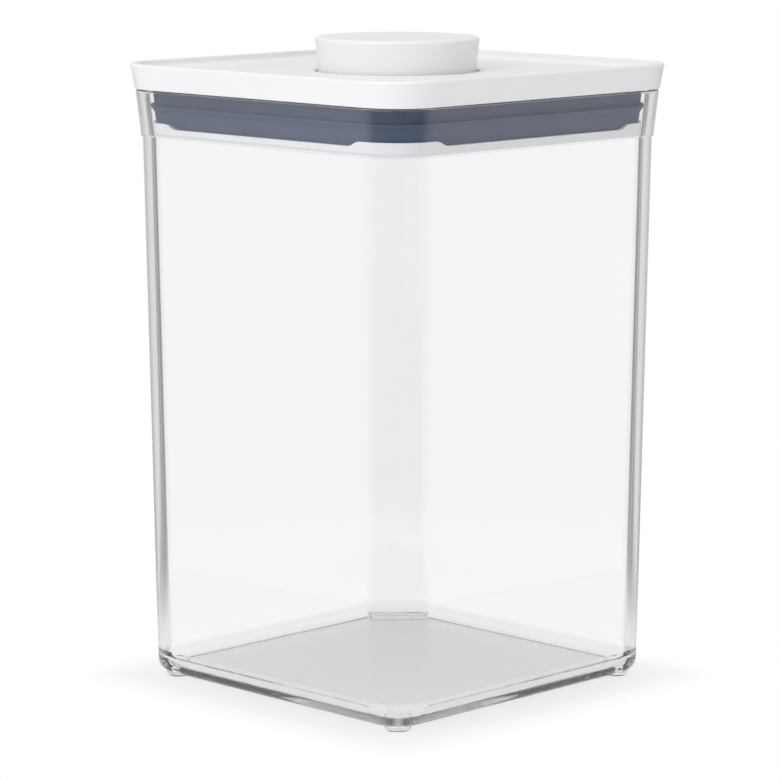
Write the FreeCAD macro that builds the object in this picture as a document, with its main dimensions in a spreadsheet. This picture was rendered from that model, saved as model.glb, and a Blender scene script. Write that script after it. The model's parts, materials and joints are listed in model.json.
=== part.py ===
import FreeCAD, Part

import math
import os
from types import SimpleNamespace

import Sketcher
from FreeCAD import Placement, Rotation, Vector

# A square pantry container with a push-button lid. Millimetres, +Z up, the origin on the
# table below the middle of the container. Its sides face along X and Y.
# Pressing the button drives four pushers out against the back of the seal.

# Driving dimensions, one named value each. Heights are measured from the table.
SIZES = {
    # container body
    "body_width": 150.8,
    "body_corner": 16.0,
    "body_wall": 2.8,
    "wall_draft": 3.3,
    "corner_draft": 1.5,
    "base_edge": 5.5,
    "floor_thickness": 3.4,
    "floor_fillet": 6.0,
    "shoulder_height": 217.4,
    "shoulder_step": 0.65,
    "collar_height": 18.1,
    "rim_flare": 2.05,
    "rim_edge": 0.8,
    "foot_inset": 10.1,
    "foot_radius": 5.0,
    "foot_height": 2.0,
    "foot_edge": 0.6,
    # lid cover
    "lid_seat_gap": 0.4,
    "lid_overhang": 0.25,
    "skirt_flare": 1.81,
    "lid_height": 10.0,
    "lid_edge": 0.9,
    "lid_low_edge": 0.4,
    "ledge_width": 2.6,
    "ledge_inner_edge": 0.5,
    "recess_depth": 3.0,
    "recess_fillet": 1.8,
    "cover_plate": 2.2,
    "skirt_wall": 2.2,
    "retainer_wall": 1.8,
    "retainer_gap": 0.6,
    "hole_edge": 0.4,
    "post_inset": 12.2,
    "pin_radius": 2.0,
    "pin_length": 9.7,
    # button and its plunger
    "button_radius": 32.3,
    "button_flare": 1.3,
    "button_proud": 1.1,
    "button_edge": 1.2,
    "button_wall": 2.0,
    "button_top": 2.4,
    "button_gap": 0.3,
    "flange_reach": 1.6,
    "flange_thickness": 2.0,
    "press_travel": 9.0,
    "disc_gap": 3.0,
    "disc_thickness": 2.2,
    "hub_wall": 3.0,
    "hub_corner": 3.0,
    "hub_clearance": 0.5,
    "rail_neck_width": 3.0,
    "rail_neck_depth": 1.6,
    "rail_head_width": 6.4,
    "rail_head_depth": 1.6,
    "stem_bore": 3.3,
    "stem_shoulder": 1.4,
    "stem_roof": 3.4,
    "journal_wall": 1.4,
    # latch ring, its clip and the sleeve that turns it
    "ring_height": 3.0,
    "ring_wall": 2.2,
    "ring_play": 0.1,
    "lug_radius": 1.2,
    "lug_reach": 2.0,
    "clip_thickness": 0.8,
    "clip_width": 1.6,
    "clip_mouth": 4.5,
    "groove_depth": 0.5,
    "tail_length": 2.0,
    "sleeve_wall": 2.2,
    "sleeve_rim": 0.5,
    "sleeve_gap": 2.0,
    "socket_wall": 1.2,
    "socket_height": 1.5,
    # return spring
    "spring_wire": 0.7,
    "spring_gap": 0.45,
    "peg_gap": 0.5,
    "peg_height": 4.0,
    # lid base
    "base_gap": 0.35,
    "base_side_gap": 0.39,
    "frame_height": 3.35,
    "frame_chamfer": 1.2,
    "tray_thickness": 2.0,
    "corner_rise": 2.0,
    "rise_inset": 25.6,
    "rise_run": 7.0,
    "back_wall": 2.5,
    "post_radius": 4.5,
    "post_gap": 1.2,
    "press_fit": 0.05,
    # gasket
    "seal_thickness": 2.6,
    "seal_inset": 3.9,
    "seal_lean": 1.35,
    "bead_depth": 1.1,
    "bead_height": 3.0,
    "bead_slope": 0.8,
    "lip_height": 8.8,
    "lip_root": 2.9,
    "lip_tip": 0.5,
    "lip_gap": 0.4,
    # pushers
    "pusher_travel": 1.5,
    "bar_width": 10.0,
    "bar_height": 4.0,
    "web_length": 6.0,
    "head_inset": 24.2,
    "head_thickness": 2.5,
    "tower_depth": 5.6,
    "tower_width": 12.0,
    "tower_gap": 4.3,
    "guide_thickness": 2.0,
    "guide_offset": 14.0,
    "guide_inset": 10.2,
    # shared clearances
    "clearance": 0.3,
    "overrun": 5.0,
}

RING_TURN = 60.0
LUG_COUNT = 3
SPRING_TURNS = 11
SIDES = {"pusher_right": 0, "pusher_back": 90, "pusher_left": 180, "pusher_front": 270}
TOUCH_SHARE = 1e-6


class Size:
    """A number together with the sheet expression that gives it."""

    def __init__(self, value, text):
        self.value = value
        self.text = text

    def joined(self, other, sign, value):
        other_text = other.text if isinstance(other, Size) else str(other)
        return Size(value, f"({self.text} {sign} {other_text})")

    def __add__(self, other):
        return self.joined(other, "+", self.value + number(other))

    def __sub__(self, other):
        return self.joined(other, "-", self.value - number(other))

    def __mul__(self, other):
        return self.joined(other, "*", self.value * number(other))

    def __truediv__(self, other):
        return self.joined(other, "/", self.value / number(other))

    def __neg__(self):
        return Size(-self.value, f"(0 - {self.text})")


def number(size):
    return size.value if isinstance(size, Size) else size


def fill_sheet():
    """Put the driving dimensions in the sheet and hand them back by name."""
    sheet = doc.addObject("Spreadsheet::Sheet", "Sizes")
    named = {}
    for row, (alias, value) in enumerate(SIZES.items(), start=1):
        sheet.set(f"A{row}", alias)
        sheet.set(f"B{row}", str(value))
        sheet.setAlias(f"B{row}", alias)
        named[alias] = Size(value, f"Sizes.{alias}")
    doc.recompute()
    return SimpleNamespace(**named)


# Sketch helpers

def new_body(label):
    body = doc.addObject("PartDesign::Body", label)
    body.Label = label
    return body


def origin_item(body, role):
    return next(item for item in body.Origin.OriginFeatures if item.Role == role)


def sketch_on(body, name, role="XY_Plane", lift=None):
    """A sketch on one of the body's origin planes, lifted along its normal."""
    sketch = body.newObject("Sketcher::SketchObject", name)
    sketch.AttachmentSupport = (origin_item(body, role), [""])
    sketch.MapMode = "FlatFace"
    if lift is not None:
        sketch.setExpression("AttachmentOffset.Base.z", lift.text)
    return sketch


def dimension(sketch, kind, where, size):
    index = sketch.addConstraint(Sketcher.Constraint(kind, *where, size.value))
    sketch.setExpression(f"Constraints[{index}]", size.text)


def relate(sketch, kind, *where):
    sketch.addConstraint(Sketcher.Constraint(kind, *where))


def place_point(sketch, geometry, end, across, along):
    """Fix one point of a sketch at (across, along), each a size or zero."""
    if number(across) == 0:
        relate(sketch, "PointOnObject", geometry, end, -2)
    else:
        dimension(sketch, "DistanceX", (-1, 1, geometry, end), across)
    if number(along) == 0:
        relate(sketch, "PointOnObject", geometry, end, -1)
    else:
        dimension(sketch, "DistanceY", (-1, 1, geometry, end), along)


def polygon(sketch, points):
    """A closed outline through points given as pairs of sizes."""
    corners = [Vector(number(across), number(along), 0) for across, along in points]
    first = sketch.GeometryCount
    count = len(corners)
    for index in range(count):
        sketch.addGeometry(Part.LineSegment(corners[index], corners[(index + 1) % count]), False)
    for index in range(count):
        relate(sketch, "Coincident", first + index, 2, first + (index + 1) % count, 1)
    for index, (across, along) in enumerate(points):
        place_point(sketch, first + index, 1, across, along)


def circle(sketch, radius, across=0, along=0):
    middle = Vector(number(across), number(along), 0)
    index = sketch.addGeometry(Part.Circle(middle, Vector(0, 0, 1), radius.value), False)
    if number(across) == 0 and number(along) == 0:
        relate(sketch, "Coincident", index, 3, -1, 1)
    else:
        place_point(sketch, index, 3, across, along)
    dimension(sketch, "Radius", (index,), radius)


def rounded_square(sketch, width, corner):
    """A square centred on the sketch's origin, with four tangent corner arcs."""
    half = width.value / 2
    inner = half - corner.value
    first = sketch.GeometryCount
    ends = [(-inner, -half, inner, -half), (half, -inner, half, inner),
            (inner, half, -inner, half), (-half, inner, -half, -inner)]
    for x_from, y_from, x_to, y_to in ends:
        sketch.addGeometry(Part.LineSegment(Vector(x_from, y_from, 0), Vector(x_to, y_to, 0)), False)
    middles = [(inner, -inner), (inner, inner), (-inner, inner), (-inner, -inner)]
    for turn, (x_mid, y_mid) in enumerate(middles, start=-1):
        ring = Part.Circle(Vector(x_mid, y_mid, 0), Vector(0, 0, 1), corner.value)
        start = turn * math.pi / 2
        sketch.addGeometry(Part.ArcOfCircle(ring, start, start + math.pi / 2), False)
    for side in range(4):
        line = first + side
        arc = first + 4 + side
        relate(sketch, "Tangent", line, 2, arc, 1)
        relate(sketch, "Tangent", arc, 2, first + (side + 1) % 4, 1)
        relate(sketch, "Horizontal" if side % 2 == 0 else "Vertical", line)
        if side > 0:
            relate(sketch, "Equal", first + 4, arc)
    relate(sketch, "Symmetric", first, 1, first + 2, 1, -1, 1)
    dimension(sketch, "DistanceX", (first + 3, 1, first + 1, 1), width)
    dimension(sketch, "DistanceY", (first, 1, first + 2, 1), width)
    dimension(sketch, "Radius", (first + 4,), corner)


def mirrored_strip(x_from, x_to, width):
    """The corners of a rectangle that lies evenly on both sides of the X axis."""
    half = width / 2
    return [(x_from, -half), (x_to, -half), (x_to, half), (x_from, half)]


# Feature helpers

def pad(body, sketch, height, name, downward=False):
    feature = body.newObject("PartDesign::Pad", name)
    feature.Profile = sketch
    feature.Reversed = downward
    feature.setExpression("Length", height.text)
    return feature


def pocket(body, sketch, depth, name, upward=False):
    """Cut downward from the sketch, or upward."""
    feature = body.newObject("PartDesign::Pocket", name)
    feature.Profile = sketch
    feature.Reversed = upward
    feature.setExpression("Length", depth.text)
    return feature


def loft(body, lower, upper, name, cuts=False):
    kind = "PartDesign::SubtractiveLoft" if cuts else "PartDesign::AdditiveLoft"
    feature = body.newObject(kind, name)
    feature.Profile = lower
    feature.Sections = [upper]
    feature.Ruled = True
    return feature


def lean(feature, slope):
    """Let a pad or pocket run up along a line that leans outward in X."""
    feature.UseCustomVector = True
    feature.AlongSketchNormal = True
    feature.Direction = Vector(slope.value, 0, 1)
    feature.setExpression("Direction.x", slope.text)


def around(body, feature, count, name):
    """Repeat a feature evenly round the vertical axis."""
    pattern = body.newObject("PartDesign::PolarPattern", name)
    pattern.Originals = [feature]
    pattern.Axis = (origin_item(body, "Z_Axis"), [""])
    pattern.Angle = 360
    pattern.Occurrences = count
    body.Tip = pattern
    return pattern


def edges_at(feature, height, reach_from, reach_to):
    """Names of the edges that lie level at a height, within a band of reach from the axis."""
    doc.recompute()
    touch = TOUCH_SHARE * number(s.body_width)
    names = []
    for index, edge in enumerate(feature.Shape.Edges, start=1):
        box = edge.BoundBox
        level = max(abs(box.ZMin - number(height)), abs(box.ZMax - number(height))) < touch
        reach = max(abs(box.XMin), abs(box.XMax), abs(box.YMin), abs(box.YMax))
        if level and number(reach_from) - touch < reach < number(reach_to) + touch:
            names.append(f"Edge{index}")
    return names


def soften(body, feature, names, size, name, kind="Fillet"):
    made = body.newObject(f"PartDesign::{kind}", name)
    made.Base = (feature, names)
    made.setExpression("Radius" if kind == "Fillet" else "Size", size.text)
    doc.recompute()
    return made


def square_sketch(body, name, lift, width, corner):
    sketch = sketch_on(body, name, lift=lift)
    rounded_square(sketch, width, corner)
    return sketch


# Container

def container_body():
    body = new_body("container_body")
    inside = s.body_wall * 2
    foot_top = s.foot_height
    floor_top = foot_top + s.floor_thickness
    shoulder = s.shoulder_height

    loft(body, square_sketch(body, "base_outline", foot_top, w.base, w.base_corner),
         square_sketch(body, "shoulder_outline", shoulder, s.body_width, s.body_corner), "body_block")
    loft(body, square_sketch(body, "collar_outline", shoulder, w.collar, w.collar_corner),
         square_sketch(body, "rim_outline", z.rim, w.rim, w.rim_corner), "collar_block")
    loft(body, square_sketch(body, "floor_inside", floor_top, w.base - inside, w.base_corner),
         square_sketch(body, "shoulder_inside", shoulder, s.body_width - inside, s.body_corner),
         "body_hollow", cuts=True)
    hollow = loft(body, square_sketch(body, "collar_inside", shoulder, w.collar - inside, w.collar_corner),
                  square_sketch(body, "rim_inside", z.rim, w.rim - inside, w.rim_corner),
                  "collar_hollow", cuts=True)
    half = w.base / 2
    low = soften(body, hollow, edges_at(hollow, foot_top, 0, half), s.base_edge, "bottom_round")
    floor = soften(body, low, edges_at(low, floor_top, 0, half), s.floor_fillet, "floor_round")
    soften(body, floor, edges_at(floor, z.rim, 0, w.rim / 2), s.rim_edge, "rim_round")

    foot_place = half - s.foot_inset
    disc = sketch_on(body, "foot_outline")
    circle(disc, s.foot_radius, foot_place, foot_place)
    foot = pad(body, disc, s.foot_height + s.floor_thickness / 2, "foot")
    feet = around(body, foot, 4, "feet")
    soften(body, feet, edges_at(feet, 0, 0, foot_place + s.foot_radius), s.foot_edge, "foot_round", "Chamfer")
    return body


# Lid shell

def lid_cover():
    body = new_body("lid_cover")
    loft(body, square_sketch(body, "skirt_low", z.lid_low, w.lid_low, w.lid_low_corner),
         square_sketch(body, "skirt_top", z.lid_top, w.lid, w.lid_corner), "cover_block")
    recess = w.lid - s.ledge_width * 2
    pocket(body, square_sketch(body, "recess_outline", z.lid_top, recess, w.lid_corner - s.ledge_width),
           s.recess_depth, "recess")
    pocket(body, square_sketch(body, "hollow_outline", z.lid_low, w.lid_low - s.skirt_wall * 2,
                               w.lid_low_corner - s.skirt_wall), z.cover_under - z.lid_low, "hollow",
           upward=True)
    retainer = square_sketch(body, "retainer_outline", z.cover_under, w.retainer, w.retainer_corner)
    rounded_square(retainer, w.retainer + s.retainer_wall * 2, w.retainer_corner + s.retainer_wall)
    pad(body, retainer, z.cover_under - z.lid_low - s.clearance, "retainer", downward=True)

    hole = sketch_on(body, "hole_outline", lift=z.recess_floor)
    circle(hole, w.button_hole)
    pocket(body, hole, s.cover_plate, "button_hole")
    pin = sketch_on(body, "pin_outline", lift=z.cover_under)
    circle(pin, s.pin_radius, w.post_place, w.post_place)
    pins = around(body, pad(body, pin, s.pin_length, "pin", downward=True), 4, "pins")

    half = w.lid / 2
    ledge_half = recess / 2
    floor = soften(body, pins, edges_at(pins, z.recess_floor, w.button_hole + s.overrun, half),
                   s.recess_fillet, "recess_round")
    outer = soften(body, floor, edges_at(floor, z.lid_top, ledge_half + s.ledge_width / 2, half),
                   s.lid_edge, "lid_round")
    inner = soften(body, outer, edges_at(outer, z.lid_top, ledge_half - s.ledge_width / 4,
                                         ledge_half + s.ledge_width / 4), s.ledge_inner_edge, "ledge_round")
    low_half = w.lid_low / 2
    low = soften(body, inner, edges_at(inner, z.lid_low, low_half - s.skirt_wall / 2, low_half),
                 s.lid_low_edge, "skirt_round")
    soften(body, low, edges_at(low, z.recess_floor, 0, w.button_hole), s.hole_edge, "hole_round")
    return body


def rise_cutter():
    """The space below the seal's lower edge, with an S-shaped rise towards each corner."""
    slabs = []
    for label, role in (("rise_along_x", "XZ_Plane"), ("rise_along_y", "YZ_Plane")):
        body = new_body(label)
        sketch = sketch_on(body, label + "_outline", role)
        rise_outline(sketch)
        block = pad(body, sketch, w.lid, label + "_pad")
        block.SideType = "Symmetric"
        slabs.append(body)
    both = doc.addObject("Part::MultiCommon", "rise_cutter")
    both.Shapes = slabs
    return both


def rise_outline(sketch):
    """A low plateau in the middle that climbs on two equal arcs to a higher level at each end."""
    low, high = z.frame_top, z.frame_top + s.corner_rise
    under = z.frame_top - s.frame_height
    end = w.lid / 2
    start = w.frame / 2 - s.rise_inset
    finish = start + s.rise_run
    radius = (number(s.rise_run) ** 2 + number(s.corner_rise) ** 2) / (4 * number(s.corner_rise))
    swing = 2 * math.atan2(number(s.corner_rise), number(s.rise_run))
    for side in (1, -1):
        foot_middle = Vector(side * number(start), number(low) + radius, 0)
        head_middle = Vector(side * number(finish), number(high) - radius, 0)
        foot = Part.Circle(foot_middle, Vector(0, 0, 1), radius)
        head = Part.Circle(head_middle, Vector(0, 0, 1), radius)
        if side > 0:
            sketch.addGeometry(Part.ArcOfCircle(foot, -math.pi / 2, swing - math.pi / 2), False)
            sketch.addGeometry(Part.ArcOfCircle(head, math.pi / 2, math.pi / 2 + swing), False)
        else:
            sketch.addGeometry(Part.ArcOfCircle(foot, -math.pi / 2 - swing, -math.pi / 2), False)
            sketch.addGeometry(Part.ArcOfCircle(head, math.pi / 2 - swing, math.pi / 2), False)
    corners = [(-start, low), (start, low), (finish, high), (end, high), (end, under), (-end, under),
               (-end, high), (-finish, high)]
    spots = [Vector(number(across), number(along), 0) for across, along in corners]
    straight = (0, 2, 3, 4, 5, 6)
    lines = [sketch.addGeometry(Part.LineSegment(spots[index], spots[index + 1]), False)
             for index in straight]
    plateau, right_top, right_end, bottom, left_end, left_top = lines
    for line, index in zip(lines, straight):
        place_point(sketch, line, 1, *corners[index])
    place_point(sketch, plateau, 2, *corners[1])
    place_point(sketch, left_top, 2, *corners[7])
    for before, after in ((right_top, right_end), (right_end, bottom), (bottom, left_end),
                          (left_end, left_top)):
        relate(sketch, "Coincident", before, 2, after, 1)
    relate(sketch, "Tangent", plateau, 2, 0, 1)
    relate(sketch, "Tangent", 0, 2, 1, 2)
    relate(sketch, "Coincident", 1, 1, right_top, 1)
    relate(sketch, "Tangent", plateau, 1, 2, 2)
    relate(sketch, "Tangent", 2, 1, 3, 1)
    relate(sketch, "Coincident", 3, 2, left_top, 2)
    relate(sketch, "Equal", 0, 1)
    relate(sketch, "Equal", 2, 3)


def lid_base(cutter):
    """The lower tray: a frame with raised corners, walls behind the seal, posts and guides."""
    body = new_body("lid_base_tray")
    pad(body, square_sketch(body, "frame_outline", z.base_low, w.frame, w.frame_corner),
        s.frame_height, "frame")
    pocket(body, square_sketch(body, "tray_outline", z.frame_top, w.back_wall_inside,
                               w.back_wall_corner - s.back_wall), z.frame_top - z.tray_floor, "tray")
    wall = square_sketch(body, "wall_outline", z.tray_floor, w.back_wall, w.back_wall_corner)
    rounded_square(wall, w.back_wall_inside, w.back_wall_corner - s.back_wall)
    pad(body, wall, z.inner_top - z.tray_floor, "back_wall")
    window = sketch_on(body, "window_outline", lift=z.inner_top)
    polygon(window, mirrored_strip(w.post_place, w.frame / 2 + s.overrun, w.head + s.clearance * 4))
    around(body, pocket(body, window, z.inner_top - z.frame_top, "window"), 4, "windows")

    post = sketch_on(body, "post_outline", lift=z.tray_floor)
    circle(post, s.post_radius, w.post_place, w.post_place)
    around(body, pad(body, post, z.cover_under - s.post_gap - z.tray_floor, "post"), 4, "posts")
    bore = sketch_on(body, "bore_outline", lift=z.cover_under - s.post_gap)
    circle(bore, s.pin_radius + s.press_fit, w.post_place, w.post_place)
    around(body, pocket(body, bore, s.pin_length, "post_bore"), 4, "post_bores")

    near = s.bar_width / 2 + s.clearance
    far = near + s.guide_thickness
    guide = sketch_on(body, "guide_outline", lift=z.tray_floor)
    guide_from = r.hub / 2 + s.guide_offset
    guide_to = w.back_wall_inside / 2 - s.guide_inset
    polygon(guide, [(guide_from, near), (guide_to, near), (guide_to, far), (guide_from, far)])
    polygon(guide, [(guide_from, -near), (guide_to, -near), (guide_to, -far), (guide_from, -far)])
    around(body, pad(body, guide, s.bar_height, "guide"), 4, "guides")

    socket = sketch_on(body, "socket_outline", lift=z.tray_floor)
    circle(socket, r.sleeve_outer + s.press_fit)
    circle(socket, r.sleeve_outer + s.press_fit + s.socket_wall)
    pad(body, socket, s.socket_height, "socket")
    peg = sketch_on(body, "peg_outline", lift=z.tray_floor)
    circle(peg, r.spring - s.spring_wire / 2 - s.peg_gap)
    last = pad(body, peg, s.peg_height, "spring_peg")
    half = w.frame / 2
    soften(body, last, edges_at(last, z.base_low, 0, half), s.frame_chamfer, "frame_bevel", "Chamfer")

    ring = new_body("corner_ring")
    band = square_sketch(ring, "band_outline", z.frame_top, w.frame, w.frame_corner)
    rounded_square(band, w.back_wall, w.back_wall_corner)
    pad(ring, band, s.corner_rise, "band")
    corners = doc.addObject("Part::MultiCommon", "raised_corners")
    corners.Shapes = [ring, cutter]
    whole = doc.addObject("Part::MultiFuse", "lid_base")
    whole.Shapes = [body, corners]
    return whole


def gasket(cutter):
    """One seal section, with two inner beads and one outer lip, carried round the lid."""
    body = new_body("gasket_ring")
    spine = square_sketch(body, "seal_path", z.frame_top, w.seal_inside, w.seal_corner)
    section = sketch_on(body, "seal_section", "XZ_Plane")
    inner = w.seal_inside / 2
    hollow = inner + s.bead_depth
    outer = inner + s.bead_depth + s.seal_thickness
    foot = outer - s.seal_lean
    low, high = z.frame_top, z.inner_top
    lip = low + s.lip_height
    lean_share = (s.lip_height - s.lip_root / 2) / (z.lid_low - low)
    root = foot + s.seal_lean * lean_share
    tip = w.lip / 2
    polygon(section, [
        (inner, low), (foot, low), (root, lip - s.lip_root), (tip, lip - s.lip_tip), (tip, lip),
        (root, lip), (outer, z.lid_low), (outer, high), (inner, high), (inner, high - s.bead_height),
        (hollow, high - s.bead_height - s.bead_slope), (hollow, low + s.bead_height + s.bead_slope),
        (inner, low + s.bead_height)])
    seal = body.newObject("PartDesign::AdditivePipe", "seal")
    seal.Profile = section
    seal.Spine = (spine, [])
    seal.Transition = "Right corner"
    cut = doc.addObject("Part::Cut", "gasket")
    cut.Base = body
    cut.Tool = cutter
    return cut


# Button and latch

def button_cap():
    """A round cap, wider at its top, with a stop flange below the cover."""
    body = new_body("button_cap")
    profile = sketch_on(body, "cap_profile", "XZ_Plane")
    waist = s.button_radius - s.button_flare
    inner = w.cap_inside
    flange = w.button_hole + s.flange_reach
    polygon(profile, [
        (0, z.cap_under), (inner + s.button_flare / 2, z.cap_under), (inner, z.flange_low),
        (flange, z.flange_low), (flange, z.flange_top), (waist, z.flange_top),
        (waist, z.recess_floor), (s.button_radius, z.button_top), (0, z.button_top)])
    turned = body.newObject("PartDesign::Revolution", "cap")
    turned.Profile = profile
    turned.ReferenceAxis = (profile, ["V_Axis"])
    turned.Angle = 360
    soften(body, turned, edges_at(turned, z.button_top, 0, s.button_radius), s.button_edge, "cap_round")
    return body


def plunger():
    """A square wedge with a T rail on each face, a disc above it and a hollow stem inside."""
    body = new_body("plunger")
    disc = sketch_on(body, "disc_outline", lift=z.disc_low)
    circle(disc, w.cap_inside - s.disc_gap)
    pad(body, disc, s.disc_thickness, "disc")
    hub_height = z.disc_low - z.hub_low
    loft(body, square_sketch(body, "hub_low", z.hub_low, r.hub, s.hub_corner),
         square_sketch(body, "hub_top", z.disc_low, r.hub + slope * hub_height * 2, s.hub_corner), "hub")
    rail = sketch_on(body, "rail_outline", lift=z.hub_low)
    polygon(rail, rail_points(r.hub / 2, 0))
    rib = pad(body, rail, hub_height, "rail")
    lean(rib, slope)
    around(body, rib, 4, "rails")

    well = sketch_on(body, "well_outline", lift=z.hub_low)
    circle(well, r.sleeve_outer + s.hub_clearance)
    pocket(body, well, z.well_roof - z.hub_low, "well", upward=True)
    stem = sketch_on(body, "stem_outline", lift=z.shoulder)
    circle(stem, r.journal + s.stem_shoulder)
    pad(body, stem, z.cap_under - z.shoulder, "stem")
    journal = sketch_on(body, "journal_outline", lift=z.stem_low)
    circle(journal, r.journal)
    pad(body, journal, z.shoulder - z.stem_low, "journal")
    groove = sketch_on(body, "groove_outline", lift=z.clip_low)
    circle(groove, r.journal + s.overrun)
    circle(groove, r.journal - s.groove_depth)
    pocket(body, groove, s.clip_thickness, "clip_groove", upward=True)
    bore = sketch_on(body, "stem_bore_outline", lift=z.stem_low)
    circle(bore, s.stem_bore)
    pocket(body, bore, z.stem_roof - z.stem_low, "stem_bore", upward=True)
    return body


def rail_points(face, room):
    """A T outline on a face at a distance from the axis; room widens it into a slot."""
    neck = s.rail_neck_width / 2 + room
    head = s.rail_head_width / 2 + room
    step = face + s.rail_neck_depth - room
    end = face + s.rail_neck_depth + s.rail_head_depth + room
    return [(face, -neck), (step, -neck), (step, -head), (end, -head),
            (end, head), (step, head), (step, neck), (face, neck)]


def index_ring():
    """A loose ring on the stem with three lugs that follow the sleeve's slots."""
    body = new_body("index_ring")
    outline = sketch_on(body, "ring_outline", lift=z.ring_low)
    circle(outline, r.journal + s.ring_play)
    circle(outline, r.ring_outer)
    pad(body, outline, s.ring_height, "ring")
    lug = sketch_on(body, "lug_outline", "YZ_Plane", lift=r.ring_outer - s.ring_wall / 2)
    circle(lug, s.lug_radius, 0, z.lug)
    around(body, pad(body, lug, s.ring_wall / 2 + s.lug_reach, "lug"), LUG_COUNT, "lugs")
    return body


def ring_clip():
    """A flat spring clip in the groove at the foot of the stem."""
    body = new_body("ring_clip")
    inside = r.journal - s.groove_depth + s.press_fit
    outline = sketch_on(body, "clip_outline", lift=z.clip_low)
    circle(outline, inside)
    circle(outline, inside + s.clip_width)
    pad(body, outline, s.clip_thickness, "clip")
    mouth = sketch_on(body, "mouth_outline", lift=z.clip_low)
    polygon(mouth, mirrored_strip(s.stem_bore / 2, inside + s.clip_width + s.overrun, s.clip_mouth))
    pocket(body, mouth, s.clip_thickness, "mouth", upward=True)
    return body


def guide_sleeve():
    """A tube with helical slots: as the lugs go down, the ring turns."""
    body = new_body("guide_sleeve")
    outline = sketch_on(body, "sleeve_outline", lift=z.tray_floor)
    circle(outline, r.sleeve_inner)
    circle(outline, r.sleeve_outer)
    pad(body, outline, z.sleeve_top - z.tray_floor, "sleeve")

    low = z.lug - s.press_travel - helical.margin_drop
    slot = sketch_on(body, "slot_outline", "XZ_Plane")
    x_from = r.sleeve_inner - s.sleeve_wall / 2
    x_to = r.sleeve_outer + s.sleeve_wall / 2
    z_from = low - helical.half_height
    z_to = low + helical.half_height
    polygon(slot, [(x_from, z_from), (x_to, z_from), (x_to, z_to), (x_from, z_to)])
    helix = body.newObject("PartDesign::SubtractiveHelix", "slot")
    helix.Profile = slot
    helix.ReferenceAxis = (slot, ["V_Axis"])
    helix.Mode = "height-turns-angle"
    helix.setExpression("Height", (s.press_travel + helical.margin_drop * 2).text)
    helix.Turns = (RING_TURN + 2 * helical.margin_turn) / 360
    helix.LeftHanded = True
    around(body, helix, LUG_COUNT, "slots")
    body.Placement = Placement(Vector(0, 0, 0), Rotation(Vector(0, 0, 1), RING_TURN + helical.margin_turn))
    return body


# Spring

def arc_from(start, heading, end):
    """The arc that leaves a point along a heading and reaches another point."""
    chord = end - start
    along = Vector(chord).normalize()
    swing = math.acos(max(-1, min(1, along.dot(heading))))
    side = (heading - along * math.cos(swing)).normalize()
    middle = (start + end) * 0.5 + side * (chord.Length / 2 * math.tan(swing / 2))
    return Part.Arc(start, middle, end).toShape()


def biarc(start, leave, end, arrive):
    """Two tangent arcs between two points with given unit headings."""
    span = end - start
    both = leave + arrive
    bend = 2 * (1 - leave.dot(arrive))
    reach = (math.sqrt(span.dot(both) ** 2 + bend * span.dot(span)) - span.dot(both)) / bend
    meet = (start + end + (leave - arrive) * reach) * 0.5
    first = arc_from(start, leave, meet)
    second = arc_from(end, -arrive, meet)
    return [first, second]


def return_spring():
    """A coil of round wire from the tray floor up into the stem."""
    radius = number(r.spring)
    wire = number(s.spring_wire)
    seat = number(s.clearance)
    low = number(z.tray_floor) + wire / 2 + seat
    high = number(z.stem_roof) - wire / 2 - seat
    quarters = SPRING_TURNS * 4
    step = (high - low) / quarters
    points = []
    headings = []
    for quarter in range(quarters + 1):
        angle = quarter * math.pi / 2
        points.append(Vector(radius * math.cos(angle), radius * math.sin(angle), low + step * quarter))
        heading = Vector(-radius * math.sin(angle), radius * math.cos(angle), step / (math.pi / 2))
        headings.append(heading.normalize())
    edges = []
    for quarter in range(quarters):
        edges += biarc(points[quarter], headings[quarter], points[quarter + 1], headings[quarter + 1])
    path = Part.Wire(Part.__sortEdges__(edges))
    section = Part.Wire(Part.Circle(points[0], headings[0], wire / 2).toShape())
    feature = doc.addObject("Part::Feature", "return_spring")
    feature.Shape = path.makePipeShell([section], True, False)
    feature.Placement = Placement(Vector(0, 0, 0), Rotation())
    turns_apart = [(points[index + 4] - points[index]).Length for index in range(quarters - 3)]
    print("least gap between spring turns:", round(min(turns_apart) - wire, 2), "mm")
    return feature


# Pushers

def pusher(label, angle):
    """A slider with a tower hooked on the wedge and a wide head behind the seal."""
    body = new_body(label)
    bar_low = z.tray_floor + s.clearance
    head_face = w.seal_hollow - s.pusher_travel - s.clearance
    head_back = head_face - s.head_thickness
    web_start = head_back - s.web_length
    face_low = r.hub / 2 + slope * (bar_low - z.hub_low)
    tower_height = z.disc_low - s.press_travel - s.tower_gap - bar_low
    inner_face = face_low + s.clearance

    bar = sketch_on(body, label + "_bar", lift=bar_low)
    bar_end = w.back_wall_inside / 2 - s.pusher_travel - s.clearance
    polygon(bar, mirrored_strip(face_low + s.tower_depth / 2, bar_end, s.bar_width))
    pad(body, bar, s.bar_height, label + "_bar_pad")
    web = sketch_on(body, label + "_web", lift=z.frame_top + s.clearance)
    polygon(web, mirrored_strip(web_start, head_face - s.head_thickness / 2, s.bar_width))
    web_height = z.head_top - z.frame_top - s.clearance
    pad(body, web, web_height, label + "_web_pad")
    head = sketch_on(body, label + "_head", lift=z.head_low)
    polygon(head, mirrored_strip(head_back, head_face, w.head))
    pad(body, head, z.head_top - z.head_low, label + "_head_pad")
    tower = sketch_on(body, label + "_tower", lift=bar_low)
    polygon(tower, mirrored_strip(inner_face, face_low + s.tower_depth, s.tower_width))
    lean(pad(body, tower, tower_height, label + "_tower_pad"), slope)
    slot = sketch_on(body, label + "_slot", lift=bar_low)
    polygon(slot, rail_points(face_low, s.clearance))
    lean(pocket(body, slot, tower_height, label + "_slot_cut"), slope)
    body.Placement = Placement(Vector(0, 0, 0), Rotation(Vector(0, 0, 1), angle))
    return body


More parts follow.
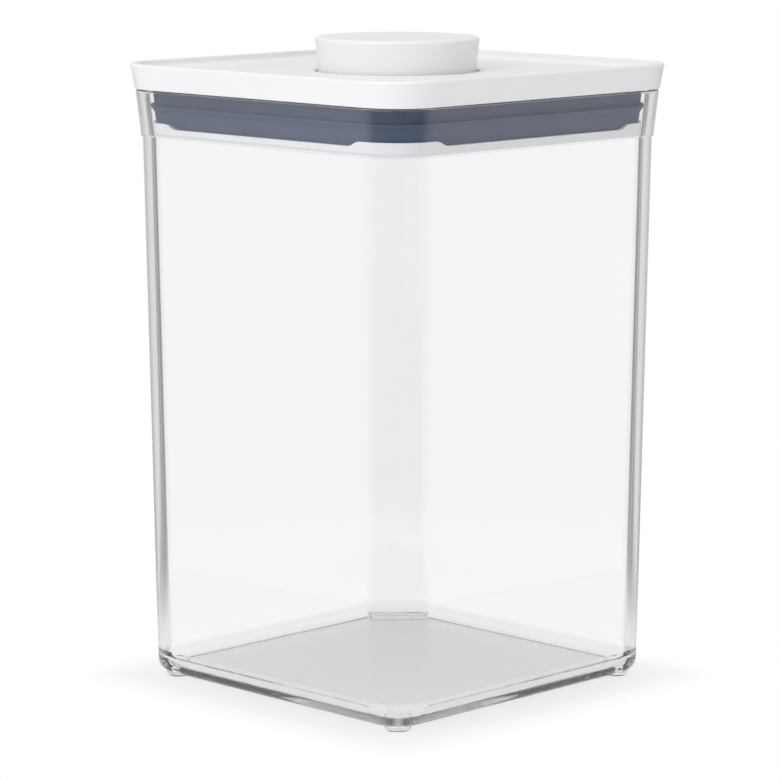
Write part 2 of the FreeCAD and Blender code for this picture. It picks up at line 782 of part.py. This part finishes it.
# Radii, heights and widths that several pieces share

def stem_radii():
    """Radii of the pieces that nest round the stem, and the hub's width over them."""
    journal = s.stem_bore + s.journal_wall
    ring_outer = journal + s.ring_play + s.ring_wall
    sleeve_inner = ring_outer + s.clearance
    sleeve_outer = sleeve_inner + s.sleeve_wall
    return SimpleNamespace(
        spring=s.stem_bore - s.spring_wire / 2 - s.spring_gap, journal=journal, ring_outer=ring_outer,
        sleeve_inner=sleeve_inner, sleeve_outer=sleeve_outer,
        hub=(sleeve_outer + s.hub_clearance + s.hub_wall) * 2)


def slot_room():
    """How far a helical slot runs on past the lug's two end places, and its half height."""
    middle = (number(r.sleeve_inner) + number(r.sleeve_outer)) / 2
    drop_per_turn = number(s.press_travel) * 360 / RING_TURN
    rake = math.atan2(drop_per_turn, 2 * math.pi * middle)
    room = s.lug_radius + s.clearance
    margin_turn = math.degrees(number(room) / middle)
    return SimpleNamespace(half_height=room / math.cos(rake), margin_turn=margin_turn,
                           margin_drop=s.press_travel * (margin_turn / RING_TURN))


def shared_heights():
    rim = s.shoulder_height + s.collar_height
    lid_low = rim + s.lid_seat_gap
    lid_top = lid_low + s.lid_height
    recess_floor = lid_top - s.recess_depth
    cover_under = recess_floor - s.cover_plate
    base_low = s.shoulder_height + s.base_gap
    frame_top = base_low + s.frame_height
    tray_floor = base_low + s.tray_thickness
    button_top = lid_top + s.button_proud + s.press_travel
    cap_under = button_top - s.button_top
    flange_top = cover_under - s.clearance
    stem_low = tray_floor + s.press_travel + s.clearance
    clip_low = stem_low + s.tail_length
    ring_low = clip_low + s.clip_thickness + s.clearance
    lug = ring_low + s.ring_height / 2
    sleeve_top = lug + helical.margin_drop + helical.half_height + s.sleeve_rim
    inner_top = cover_under - s.clearance
    bead = s.bead_height + s.bead_slope + s.clearance
    return SimpleNamespace(
        rim=rim, lid_low=lid_low, lid_top=lid_top, recess_floor=recess_floor, cover_under=cover_under,
        base_low=base_low, frame_top=frame_top, tray_floor=tray_floor, button_top=button_top,
        cap_under=cap_under, disc_low=cap_under - s.disc_thickness,
        well_roof=sleeve_top + s.press_travel + s.sleeve_gap,
        stem_roof=cap_under - s.stem_roof, sleeve_top=sleeve_top,
        flange_top=flange_top, flange_low=flange_top - s.flange_thickness, stem_low=stem_low,
        clip_low=clip_low, ring_low=ring_low, lug=lug,
        shoulder=ring_low + s.ring_height + s.clearance, inner_top=inner_top,
        hub_low=tray_floor + s.socket_height + s.press_travel + s.hub_clearance,
        head_low=frame_top + bead, head_top=inner_top - bead)


def shared_widths():
    """Widths across the container and the lid, their corner radii and the button's two radii."""
    collar = s.body_width + s.shoulder_step * 2
    collar_corner = s.body_corner + s.shoulder_step
    rim = collar + s.rim_flare * 2
    rim_corner = collar_corner + s.rim_flare
    lid_low = rim + s.lid_overhang * 2
    lid_low_corner = rim_corner + s.lid_overhang
    collar_inside = collar - s.body_wall * 2
    frame = collar_inside - s.base_side_gap * 2
    frame_corner = collar_corner - s.base_side_gap
    seal_inside = frame - s.seal_inset * 2
    seal_corner = frame_corner - s.seal_inset
    rise = (s.lip_height + z.frame_top - s.shoulder_height) / s.collar_height
    seal_outer = seal_inside + (s.bead_depth + s.seal_thickness) * 2
    back_wall = seal_inside - s.clearance * 2
    back_wall_inside = back_wall - s.back_wall * 2
    return SimpleNamespace(
        base=s.body_width - s.wall_draft * 2, base_corner=s.body_corner - s.corner_draft,
        collar=collar, collar_corner=collar_corner, rim=rim, rim_corner=rim_corner,
        lid_low=lid_low, lid_low_corner=lid_low_corner, lid=lid_low + s.skirt_flare * 2,
        lid_corner=lid_low_corner + s.skirt_flare, frame=frame, frame_corner=frame_corner,
        seal_inside=seal_inside, seal_corner=seal_corner,
        lip=collar_inside + s.rim_flare * rise * 2 - s.lip_gap * 2,
        seal_hollow=seal_inside / 2 + s.bead_depth, retainer=seal_outer + s.retainer_gap * 2,
        retainer_corner=seal_corner + s.bead_depth + s.seal_thickness + s.retainer_gap,
        back_wall=back_wall, back_wall_corner=seal_corner - s.clearance,
        back_wall_inside=back_wall_inside, post_place=back_wall_inside / 2 - s.post_inset,
        head=back_wall_inside - s.head_inset * 2, button_hole=s.button_radius + s.button_gap,
        cap_inside=s.button_radius - s.button_flare - s.button_wall)


def write_parts(pieces):
    doc.recompute()
    for item in doc.Objects:
        if "Invalid" in item.State or "Error" in item.State:
            raise RuntimeError(f"{item.Label}: {item.State}")
    for piece in pieces:
        shape = piece.Shape
        if shape.isNull() or not shape.isValid():
            raise RuntimeError(f"{piece.Label}: no valid shape")
    os.makedirs("parts", exist_ok=True)
    for piece in pieces:
        piece.Shape.exportStep(f"parts/{piece.Label}.step")
        print(piece.Label, len(piece.Shape.Solids), round(piece.Shape.Volume), "mm3")


doc = FreeCAD.newDocument("storage_container")
s = fill_sheet()
r = stem_radii()
helical = slot_room()
z = shared_heights()
w = shared_widths()
slope = s.pusher_travel / s.press_travel
corner_cutter = rise_cutter()
pieces = [container_body(), lid_cover(), lid_base(corner_cutter), gasket(corner_cutter), button_cap(),
          plunger(), index_ring(), ring_clip(), guide_sleeve(), return_spring()]
pieces += [pusher(label, angle) for label, angle in SIDES.items()]
write_parts(pieces)
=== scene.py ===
import json
import math

import bpy
from mathutils import Matrix, Vector


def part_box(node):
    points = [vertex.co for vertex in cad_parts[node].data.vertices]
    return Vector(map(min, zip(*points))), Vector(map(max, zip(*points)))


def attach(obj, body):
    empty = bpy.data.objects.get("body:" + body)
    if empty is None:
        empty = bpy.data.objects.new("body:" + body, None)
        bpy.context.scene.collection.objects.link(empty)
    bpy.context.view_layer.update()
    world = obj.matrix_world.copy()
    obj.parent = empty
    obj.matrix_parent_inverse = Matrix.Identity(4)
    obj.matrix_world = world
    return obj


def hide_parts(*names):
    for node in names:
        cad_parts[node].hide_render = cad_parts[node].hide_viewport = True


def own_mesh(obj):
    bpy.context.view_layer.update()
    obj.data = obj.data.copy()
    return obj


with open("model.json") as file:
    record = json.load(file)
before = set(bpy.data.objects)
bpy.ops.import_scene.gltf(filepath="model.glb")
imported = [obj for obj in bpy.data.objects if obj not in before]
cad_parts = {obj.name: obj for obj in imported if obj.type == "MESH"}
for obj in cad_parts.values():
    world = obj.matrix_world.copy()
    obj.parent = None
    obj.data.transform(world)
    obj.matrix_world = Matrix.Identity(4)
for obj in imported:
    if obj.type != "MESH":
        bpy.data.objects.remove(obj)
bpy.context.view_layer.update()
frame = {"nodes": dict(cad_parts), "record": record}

MM = 0.001

# Camera: a square picture of this many pixels, with the lens and place fitted to the photograph.
# Lengths in metres but for the sensor.
PHOTO_PX = 780
AXIS_PX = 397.35
FOCAL_PX = 3514.05
SENSOR_MM = 36.0
CAMERA_DISTANCE = 1.37928
CAMERA_HEIGHT = 0.33953
CAMERA_PITCH = math.radians(9.212)
CAMERA_YAW = math.radians(44.846)
CLIP_END = 100

# Floor, in metres: its shadow near the container fades out to white, as the photograph's does
BASE_HALF = 0.0721
FLOOR_RADIUS = 9.0
FLOOR_SIDES = 96
FLOOR_WHITE = (0.95, 0.95, 0.95, 1)
FLOOR_ROUGHNESS = 0.7
FLOOR_SPECULAR = 0.2
FADE_FROM = 0.0
FADE_TO = 0.028
# Painted light: this share of white glow lies on the floor under the container and at the base's
# edge, lightening the shadow there
LEAST_PAINTED_GLOW = 0.35

# Brightness of the room, and of what the clear walls mirror
SEEN_WHITE = 1.0
AMBIENT = 0.68
MIRRORED_SKY = 0.7
# Painted reflection: glow levels of the floor as only the clear walls mirror it
MIRRORED_DARK = 0.13
MIRRORED_LIGHT = 0.74

# Painted reflection in the clear walls: where the floor, as mirrored rays alone see it, glows
# dark:
# beside the container's faces (as a share of a squared sine), in front of its nearest corner (as a
# cosine), and from this far out (in metres)
DARK_SECTOR = 0.12
FRONT_FROM = 0.6
FRONT_TO = 0.9
SURROUND_FROM = 0.02
SURROUND_TO = 0.2

# A ray's count of mirror bounces is under this before the first one and over it from then on
FIRST_MIRRORING = 0.5
GLOSSY_BOUNCES = 128
MAX_BOUNCES = 160

# Lamps: metres and watts
LAMP_TARGET = Vector((0, 0, 0.16))
LAMPS = {
    "key": {"place": (0.18, -1.29, 0.9), "width": 0.9, "height": 0.9, "watts": 6.4},
    "low_left": {"place": (0.15, -1.0, 0.12), "width": 1.0, "height": 0.24, "watts": 0.22},
    "low_right": {"place": (1.0, -0.1, 0.12), "width": 1.0, "height": 0.24, "watts": 0.32},
    "overhead": {"place": (0, 0, 2.0), "width": 1.6, "height": 1.6, "watts": 8.0},
}

# Noise lies mostly between these two values
NOISE_LOW = 0.3
NOISE_HIGH = 0.7

# Moulded materials by slot: two shades, a range of roughness, and a grain per metre and in metres
MOULDED = {
    "white_plastic": {"dark": (0.84, 0.84, 0.855), "light": (0.87, 0.87, 0.885),
                      "rough": (0.3, 0.42), "grain_scale": 2600.0, "grain_depth": 0.00002},
    "acetal": {"dark": (0.76, 0.76, 0.73), "light": (0.82, 0.82, 0.79),
               "rough": (0.4, 0.55), "grain_scale": 1800.0, "grain_depth": 0.00003},
    "seal_silicone": {"dark": (0.061, 0.085, 0.152), "light": (0.074, 0.1, 0.174),
                      "rough": (0.5, 0.66), "grain_scale": 1500.0, "grain_depth": 0.00003},
}
DRIFT_SCALE = 22.0
GLOSS_SCALE = 160.0
GRAIN_DETAIL = 2.0
GRAIN_STRENGTH = 0.25

# Clear plastic
CLEAR_IOR = 1.53
CLEAR_FACE = (0.985, 0.988, 0.99, 1)
# Painted shade: the grey that the clear plastic's colour turns to where its surface turns away
# from the eye, from this facing value on
PAINTED_EDGE_SHADE = (0.4, 0.405, 0.41, 1)
PAINTED_SHADE_FROM = 0.6
CLEAR_DEPTH_TINT = (0.8, 0.82, 0.83, 1)
CLEAR_DENSITY = 7.0
CLEAR_LET_IN = (0.96, 0.965, 0.97, 1)
CLEAR_ROUGH = (0.0, 0.015)
CLEAR_ROUGH_SCALE = 60.0
WAVE_SCALE = 14.0
WAVE_DETAIL = 0.0
WAVE_DEPTH = 0.0004
WAVE_STRENGTH = 0.02

# Spring steel, with the marks of wire drawing
STEEL_DARK = (0.52, 0.52, 0.54)
STEEL_LIGHT = (0.66, 0.66, 0.68)
STEEL_ROUGH = (0.18, 0.34)
DRAW_SCALE = 900.0
DRAW_DETAIL = 2.0
DRAW_STRETCH = (1, 1, 4)
DRAW_DEPTH = 0.00002
DRAW_STRENGTH = 0.2

# Seal, in millimetres: the same sizes as the solid that it stands for
SEAL_INNER = 68.96
SEAL_CORNER = 12.36
SEAL_BEAD = 1.1
SEAL_BEAD_HEIGHT = 3.0
SEAL_BEAD_SLOPE = 0.8
SEAL_THICKNESS = 2.6
SEAL_LEAN = 1.35
SEAL_LIP_HEIGHT = 8.8
SEAL_LIP_ROOT = 2.9
SEAL_LIP_TIP = 0.5
SEAL_SKIRT = 14.8
RISE_START = 47.26
RISE_RUN = 7.0
RISE_HEIGHT = 2.0

# Roundings of the seal's section, in millimetres, and the steps of its mesh
SEAL_EDGE = 0.3
SEAL_FOOT_EDGE = 0.4
SEAL_SKIRT_EDGE = 0.5
SEAL_BEAD_EDGE = 0.2
LIP_EDGE = 0.2
UNDER_LIP_FILLET = 0.8
OVER_LIP_FILLET = 0.7
EDGE_STEPS = 5
ARC_STEPS = 24
SIDE_STEPS = 60

# Spring: wire in millimetres
SPRING_TURNS = 11
SPRING_WIRE = 0.7
SPRING_STEPS = 32
SPRING_BEVEL = 4


# Materials

def new_material(name):
    material = bpy.data.materials.new(name)
    material.use_nodes = True
    nodes = material.node_tree.nodes
    return material, nodes, material.node_tree.links, nodes["Principled BSDF"]


def noise(nodes, links, scale, detail=3.0, stretch=(1, 1, 1)):
    """Noise in the object's own metres."""
    place = nodes.new("ShaderNodeTexCoord")
    mapping = nodes.new("ShaderNodeMapping")
    mapping.inputs["Scale"].default_value = stretch
    texture = nodes.new("ShaderNodeTexNoise")
    texture.inputs["Scale"].default_value = scale
    texture.inputs["Detail"].default_value = detail
    links.new(place.outputs["Object"], mapping.inputs["Vector"])
    links.new(mapping.outputs["Vector"], texture.inputs["Vector"])
    return texture.outputs["Fac"]


def spread(nodes, links, source, low, high):
    """Maps noise onto a range of numbers."""
    span = nodes.new("ShaderNodeMapRange")
    span.inputs["From Min"].default_value = NOISE_LOW
    span.inputs["From Max"].default_value = NOISE_HIGH
    span.inputs["To Min"].default_value = low
    span.inputs["To Max"].default_value = high
    links.new(source, span.inputs["Value"])
    return span.outputs["Result"]


def tint(nodes, links, source, dark, light):
    """A colour that wanders between two shades with the noise."""
    ramp = nodes.new("ShaderNodeValToRGB")
    ramp.color_ramp.elements[0].position = NOISE_LOW
    ramp.color_ramp.elements[1].position = NOISE_HIGH
    ramp.color_ramp.elements[0].color = (*dark, 1)
    ramp.color_ramp.elements[1].color = (*light, 1)
    links.new(source, ramp.inputs["Fac"])
    return ramp.outputs["Color"]


def math_node(nodes, links, operation, first, second):
    """One sum; the second number may be given or come from another node."""
    node = nodes.new("ShaderNodeMath")
    node.operation = operation
    links.new(first, node.inputs[0])
    if isinstance(second, float):
        node.inputs[1].default_value = second
    else:
        links.new(second, node.inputs[1])
    return node.outputs["Value"]


def between(nodes, links, share, low, high):
    """The level that lies a share of the way from one level to another."""
    level = nodes.new("ShaderNodeMapRange")
    level.inputs["To Min"].default_value = low
    level.inputs["To Max"].default_value = high
    links.new(share, level.inputs["Value"])
    return level.outputs["Result"]


def bump(nodes, links, shader, source, depth, strength):
    node = nodes.new("ShaderNodeBump")
    node.inputs["Distance"].default_value = depth
    node.inputs["Strength"].default_value = strength
    links.new(source, node.inputs["Height"])
    links.new(node.outputs["Normal"], shader.inputs["Normal"])


def moulded(name, dark, light, rough, grain_scale, grain_depth):
    """A moulded surface: slight drift of shade and gloss, and a fine spark-eroded grain."""
    material, nodes, links, shader = new_material(name)
    drift = noise(nodes, links, DRIFT_SCALE)
    grain = noise(nodes, links, grain_scale, GRAIN_DETAIL)
    gloss = noise(nodes, links, GLOSS_SCALE)
    links.new(tint(nodes, links, drift, dark, light), shader.inputs["Base Color"])
    links.new(spread(nodes, links, gloss, *rough), shader.inputs["Roughness"])
    bump(nodes, links, shader, grain, grain_depth, GRAIN_STRENGTH)
    return material


def clear_plastic():
    """A clear moulding with slightly wavy faces, which greys what is seen through its depth."""
    material, nodes, links, shader = new_material("clear_plastic")
    # The colour carries painted shade at grazing edges
    links.new(painted_edge_shade(nodes, links), shader.inputs["Base Color"])
    shader.inputs["Transmission Weight"].default_value = 1.0
    shader.inputs["IOR"].default_value = CLEAR_IOR
    gloss = noise(nodes, links, CLEAR_ROUGH_SCALE)
    links.new(spread(nodes, links, gloss, *CLEAR_ROUGH), shader.inputs["Roughness"])
    wave = noise(nodes, links, WAVE_SCALE, WAVE_DETAIL)
    bump(nodes, links, shader, wave, WAVE_DEPTH, WAVE_STRENGTH)
    absorb = nodes.new("ShaderNodeVolumeAbsorption")
    absorb.inputs["Color"].default_value = CLEAR_DEPTH_TINT
    absorb.inputs["Density"].default_value = CLEAR_DENSITY
    output = nodes["Material Output"]
    links.new(absorb.outputs["Volume"], output.inputs["Volume"])
    let_light_in(nodes, links, shader, output)
    return material


def painted_edge_shade(nodes, links):
    """Clear face on, and painted shade where the surface turns away: a grey put into the colour
    for the dark edges that thick clear mouldings show by refraction and reflection.
    """
    facing = nodes.new("ShaderNodeLayerWeight")
    ramp = nodes.new("ShaderNodeValToRGB")
    ramp.color_ramp.elements[0].position = PAINTED_SHADE_FROM
    ramp.color_ramp.elements[0].color = CLEAR_FACE
    ramp.color_ramp.elements[1].color = PAINTED_EDGE_SHADE
    links.new(facing.outputs["Facing"], ramp.inputs["Fac"])
    return ramp.outputs["Color"]


def let_light_in(nodes, links, shader, output):
    """Light goes straight through the walls, a little dimmed, to what is behind them."""
    path = nodes.new("ShaderNodeLightPath")
    either = math_node(nodes, links, "MAXIMUM", path.outputs["Is Shadow Ray"],
                       path.outputs["Is Diffuse Ray"])
    through = nodes.new("ShaderNodeBsdfTransparent")
    through.inputs["Color"].default_value = CLEAR_LET_IN
    mix = nodes.new("ShaderNodeMixShader")
    links.new(either, mix.inputs["Fac"])
    links.new(shader.outputs["BSDF"], mix.inputs[1])
    links.new(through.outputs["BSDF"], mix.inputs[2])
    links.new(mix.outputs["Shader"], output.inputs["Surface"])


def spring_steel():
    material, nodes, links, shader = new_material("spring_steel")
    shader.inputs["Metallic"].default_value = 1.0
    draw = noise(nodes, links, DRAW_SCALE, DRAW_DETAIL, DRAW_STRETCH)
    links.new(tint(nodes, links, draw, STEEL_DARK, STEEL_LIGHT), shader.inputs["Base Color"])
    links.new(spread(nodes, links, draw, *STEEL_ROUGH), shader.inputs["Roughness"])
    bump(nodes, links, shader, draw, DRAW_DEPTH, DRAW_STRENGTH)
    return material


def paint(obj, material):
    obj.data.materials.clear()
    obj.data.materials.append(material)


# Pieces

def mesh_object(name, points, faces):
    mesh = bpy.data.meshes.new(name)
    mesh.from_pydata(points, [], faces)
    mesh.validate()
    obj = bpy.data.objects.new(name, mesh)
    bpy.context.scene.collection.objects.link(obj)
    for polygon in mesh.polygons:
        polygon.use_smooth = True
    return obj


def rounded_square(half, corner):
    """Points round a square with round corners, in metres, anticlockwise from the right side."""
    points = []
    straight = half - corner
    for quarter in range(4):
        turn = Matrix.Rotation(quarter * math.pi / 2, 2)
        for step in range(SIDE_STEPS):
            points.append(turn @ Vector((half, straight * (2 * step / SIDE_STEPS - 1))))
        for step in range(ARC_STEPS):
            angle = math.pi / 2 * step / ARC_STEPS
            x = straight + corner * math.cos(angle)
            y = straight + corner * math.sin(angle)
            points.append(turn @ Vector((x, y)))
    return points


def rounded_profile(corners):
    """A closed outline of (place, height, radius) corners, each rounded by its radius."""
    count = len(corners)
    points = []
    for index in range(count):
        before = Vector(corners[index - 1][:2])
        here = Vector(corners[index][:2])
        after = Vector(corners[(index + 1) % count][:2])
        radius = corners[index][2]
        into = (here - before).normalized()
        out = (after - here).normalized()
        bend = into.angle(out)
        reach = radius * math.tan(bend / 2)
        start = here - into * reach
        end = here + out * reach
        for step in range(EDGE_STEPS + 1):
            t = step / EDGE_STEPS
            points.append(start * (1 - t) ** 2 + here * 2 * t * (1 - t) + end * t ** 2)
    return points


def seal_rise(x, y):
    """How far the seal's lower edge rises towards the corners, in millimetres."""
    along = min(abs(x), abs(y)) / MM
    t = min(1.0, max(0.0, (along - RISE_START) / RISE_RUN))
    return RISE_HEIGHT * t * t * (3 - 2 * t)


def seal_section(low, high, tip):
    """The seal's outline from its lower inner edge: millimetres from the middle, and heights."""
    inner = SEAL_INNER
    hollow = inner + SEAL_BEAD
    bead = SEAL_BEAD_HEIGHT + SEAL_BEAD_SLOPE
    outer = hollow + SEAL_THICKNESS
    foot = outer - SEAL_LEAN
    lip = low + SEAL_LIP_HEIGHT
    root = foot + SEAL_LEAN * (SEAL_LIP_HEIGHT - SEAL_LIP_ROOT / 2) / SEAL_SKIRT
    return rounded_profile([
        (inner, low, SEAL_EDGE),
        (foot, low, SEAL_FOOT_EDGE),
        (root, lip - SEAL_LIP_ROOT, UNDER_LIP_FILLET),
        (tip, lip - SEAL_LIP_TIP, LIP_EDGE),
        (tip, lip, LIP_EDGE),
        (root, lip, OVER_LIP_FILLET),
        (outer, low + SEAL_SKIRT, SEAL_SKIRT_EDGE),
        (outer, high, SEAL_EDGE),
        (inner, high, SEAL_EDGE),
        (inner, high - SEAL_BEAD_HEIGHT, SEAL_BEAD_EDGE),
        (hollow, high - bead, SEAL_BEAD_EDGE),
        (hollow, low + bead, SEAL_BEAD_EDGE),
        (inner, low + SEAL_BEAD_HEIGHT, SEAL_BEAD_EDGE)])


def seal_ring(material):
    """The lipped seal, its edges rounded as silicone mouldings are."""
    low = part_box("gasket")[0].z / MM
    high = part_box("gasket")[1].z / MM
    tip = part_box("gasket")[1].x / MM
    section = seal_section(low, high, tip)
    points = []
    for place, height in section:
        for spot in rounded_square(place * MM, (SEAL_CORNER + place - SEAL_INNER) * MM):
            share = max(0.0, 1 - (height - low) / (SEAL_LIP_HEIGHT - SEAL_LIP_ROOT))
            z = height + seal_rise(*spot) * share
            points.append((spot.x, spot.y, z * MM))
    around = 4 * (SIDE_STEPS + ARC_STEPS)
    rows = len(section)
    faces = []
    for row in range(rows):
        for column in range(around):
            faces.append((row * around + column, row * around + (column + 1) % around,
                          (row + 1) % rows * around + (column + 1) % around,
                          (row + 1) % rows * around + column))
    obj = mesh_object("seal_ring", points, faces)
    paint(obj, material)
    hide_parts("gasket")
    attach(obj, "lid")


def spring_coil(material):
    """The return spring as one wound wire, riding on the lid."""
    low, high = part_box("return_spring")
    wire = SPRING_WIRE * MM / 2
    radius = high.x - wire
    bottom = low.z + wire
    top = high.z - wire
    curve = bpy.data.curves.new("spring_coil", "CURVE")
    curve.dimensions = "3D"
    curve.bevel_depth = wire
    curve.bevel_resolution = SPRING_BEVEL
    curve.use_fill_caps = True
    spline = curve.splines.new("POLY")
    total = SPRING_TURNS * SPRING_STEPS
    spline.points.add(total)
    for step in range(total + 1):
        turn = step / SPRING_STEPS
        angle = 2 * math.pi * turn
        height = bottom + (top - bottom) * step / total
        spline.points[step].co = (radius * math.cos(angle), radius * math.sin(angle), height, 1)
    holder = bpy.data.objects.new("spring_curve", curve)
    bpy.context.scene.collection.objects.link(holder)
    bpy.context.view_layer.update()
    wound = holder.evaluated_get(bpy.context.evaluated_depsgraph_get())
    mesh = bpy.data.meshes.new_from_object(wound)
    bpy.data.objects.remove(holder)
    obj = bpy.data.objects.new("spring_coil", mesh)
    bpy.context.scene.collection.objects.link(obj)
    paint(obj, material)
    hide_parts("return_spring")
    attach(obj, "lid")
    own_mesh(obj)


# Room

def white_to_the_eye(nodes, links):
    """1 for rays from the camera or straight through the clear walls: they see a white room."""
    path = nodes.new("ShaderNodeLightPath")
    depth = path.outputs["Glossy Depth"]
    unmirrored = math_node(nodes, links, "LESS_THAN", depth, FIRST_MIRRORING)
    through = path.outputs["Is Transmission Ray"]
    straight = math_node(nodes, links, "MULTIPLY", through, unmirrored)
    return math_node(nodes, links, "MAXIMUM", path.outputs["Is Camera Ray"], straight)


def distance_from_base(nodes, links):
    """How far a point of the floor lies outside the square that the container stands on."""
    value = nodes.new("ShaderNodeTexCoord").outputs["Object"]
    steps = (("ABSOLUTE", None), ("SUBTRACT", (BASE_HALF, BASE_HALF, 0)), ("MAXIMUM", (0, 0, 0)))
    for operation, other in steps:
        step = nodes.new("ShaderNodeVectorMath")
        step.operation = operation
        links.new(value, step.inputs[0])
        if other:
            step.inputs[1].default_value = other
        value = step.outputs["Vector"]
    length = nodes.new("ShaderNodeVectorMath")
    length.operation = "LENGTH"
    links.new(value, length.inputs[0])
    return length.outputs["Value"]


def beyond(nodes, links, value, start, end):
    """0 up to one value, 1 beyond another, and smooth between them."""
    span = nodes.new("ShaderNodeMapRange")
    span.interpolation_type = "SMOOTHSTEP"
    span.inputs["From Min"].default_value = start
    span.inputs["From Max"].default_value = end
    links.new(value, span.inputs["Value"])
    return span.outputs["Result"]


def behind_front(nodes, links, place):
    """0 for floor out in front of the container's nearest corner, where the painted reflection is
    dark, 1 for the rest of it.
    """
    ahead = nodes.new("ShaderNodeVectorMath")
    ahead.operation = "NORMALIZE"
    links.new(place, ahead.inputs[0])
    towards = nodes.new("ShaderNodeVectorMath")
    towards.operation = "DOT_PRODUCT"
    towards.inputs[1].default_value = (math.sin(CAMERA_YAW), -math.cos(CAMERA_YAW), 0)
    links.new(ahead.outputs["Vector"], towards.inputs[0])
    share = beyond(nodes, links, towards.outputs["Value"], FRONT_FROM, FRONT_TO)
    return between(nodes, links, share, 1.0, 0.0)


def painted_reflection_glow(nodes, links):
    """A painted reflection: a glow that the floor shows only to rays mirrored off the clear walls,
    dark in front and out from the sides, light out from the other corners."""
    place = nodes.new("ShaderNodeTexCoord").outputs["Object"]
    parts = nodes.new("ShaderNodeSeparateXYZ")
    links.new(place, parts.inputs["Vector"])
    square = nodes.new("ShaderNodeVectorMath")
    square.operation = "DOT_PRODUCT"
    links.new(place, square.inputs[0])
    links.new(place, square.inputs[1])
    product = math_node(nodes, links, "MULTIPLY", parts.outputs["X"], parts.outputs["Y"])
    share = math_node(nodes, links, "DIVIDE", product, square.outputs["Value"])
    corner = math_node(nodes, links, "MULTIPLY", share, share)
    light = math_node(nodes, links, "MULTIPLY", beyond(nodes, links, corner, 0.0, DARK_SECTOR),
                      behind_front(nodes, links, place))
    strength = between(nodes, links, light, MIRRORED_DARK, MIRRORED_LIGHT)
    glow = nodes.new("ShaderNodeEmission")
    links.new(strength, glow.inputs["Strength"])
    return glow


def mix_in_glow(nodes, links, surface, share, glow):
    """The surface, with a share of plain glow in its place."""
    mix = nodes.new("ShaderNodeMixShader")
    links.new(share, mix.inputs["Fac"])
    links.new(surface, mix.inputs[1])
    links.new(glow.outputs["Emission"], mix.inputs[2])
    return mix.outputs["Shader"]


def make_floor():
    bpy.ops.mesh.primitive_circle_add(vertices=FLOOR_SIDES, radius=FLOOR_RADIUS, fill_type="NGON")
    floor = bpy.context.object
    floor.name = "floor"
    material, nodes, links, shader = new_material("floor")
    shader.inputs["Base Color"].default_value = FLOOR_WHITE
    shader.inputs["Roughness"].default_value = FLOOR_ROUGHNESS
    shader.inputs["Specular IOR Level"].default_value = FLOOR_SPECULAR
    distance = distance_from_base(nodes, links)
    clear_of_base = beyond(nodes, links, distance, FADE_FROM, FADE_TO)
    # Painted light: as the eye sees it, the floor's real shading gives way to white glow, a least
    # share under the base and all of it clear of the base
    fade = between(nodes, links, clear_of_base, LEAST_PAINTED_GLOW, 1.0)
    seen = math_node(nodes, links, "MULTIPLY", fade, white_to_the_eye(nodes, links))
    white = nodes.new("ShaderNodeEmission")
    surface = mix_in_glow(nodes, links, shader.outputs["BSDF"], seen, white)
    # Painted reflection: rays mirrored off the clear walls see the floor out from the base
    # replaced by a dark or light glow
    depth = nodes.new("ShaderNodeLightPath").outputs["Glossy Depth"]
    mirrored = math_node(nodes, links, "GREATER_THAN", depth, FIRST_MIRRORING)
    surround = beyond(nodes, links, distance, SURROUND_FROM, SURROUND_TO)
    dim = math_node(nodes, links, "MULTIPLY", surround, mirrored)
    surface = mix_in_glow(nodes, links, surface, dim, painted_reflection_glow(nodes, links))
    links.new(surface, nodes["Material Output"].inputs["Surface"])
    paint(floor, material)


def make_world():
    world = bpy.data.worlds.new("studio")
    bpy.context.scene.world = world
    world.use_nodes = True
    nodes = world.node_tree.nodes
    links = world.node_tree.links
    path = nodes.new("ShaderNodeLightPath")
    bent = math_node(nodes, links, "MAXIMUM", path.outputs["Is Glossy Ray"],
                     path.outputs["Is Transmission Ray"])
    unseen = between(nodes, links, bent, AMBIENT, MIRRORED_SKY)
    level = nodes.new("ShaderNodeMapRange")
    level.inputs["To Max"].default_value = SEEN_WHITE
    links.new(unseen, level.inputs["To Min"])
    links.new(white_to_the_eye(nodes, links), level.inputs["Value"])
    background = nodes["Background"]
    background.inputs["Color"].default_value = (1, 1, 1, 1)
    links.new(level.outputs["Result"], background.inputs["Strength"])


def make_lamps():
    for name, sizes in LAMPS.items():
        lamp = bpy.data.lights.new(name, "AREA")
        lamp.shape = "RECTANGLE"
        lamp.size = sizes["width"]
        lamp.size_y = sizes["height"]
        lamp.energy = sizes["watts"]
        obj = bpy.data.objects.new(name, lamp)
        obj.location = sizes["place"]
        obj.rotation_euler = (LAMP_TARGET - obj.location).to_track_quat("-Z", "Y").to_euler()
        obj.visible_camera = False
        obj.visible_transmission = False
        bpy.context.scene.collection.objects.link(obj)


def make_camera():
    data = bpy.data.cameras.new("camera")
    data.sensor_width = SENSOR_MM
    data.lens = FOCAL_PX / PHOTO_PX * SENSOR_MM
    data.shift_x = -(AXIS_PX - PHOTO_PX / 2) / PHOTO_PX
    data.clip_end = CLIP_END
    camera = bpy.data.objects.new("camera", data)
    camera.location = (math.sin(CAMERA_YAW) * CAMERA_DISTANCE,
                       -math.cos(CAMERA_YAW) * CAMERA_DISTANCE, CAMERA_HEIGHT)
    camera.rotation_euler = (math.pi / 2 - CAMERA_PITCH, 0, CAMERA_YAW)
    bpy.context.scene.collection.objects.link(camera)
    bpy.context.scene.camera = camera


def dress_nodes():
    by_slot = {name: moulded(name, **look) for name, look in MOULDED.items()}
    by_slot["spring_steel"] = spring_steel()
    by_slot["clear_plastic"] = clear_plastic()
    for subpart in frame["record"]["subparts"]:
        paint(frame["nodes"][subpart["node"]], by_slot[subpart["material_slot"]])
    seal_ring(by_slot["seal_silicone"])
    spring_coil(by_slot["spring_steel"])


dress_nodes()
make_floor()
make_world()
make_lamps()
make_camera()
bpy.context.scene.view_settings.view_transform = "Standard"
bpy.context.scene.cycles.glossy_bounces = GLOSSY_BOUNCES
bpy.context.scene.cycles.max_bounces = MAX_BOUNCES
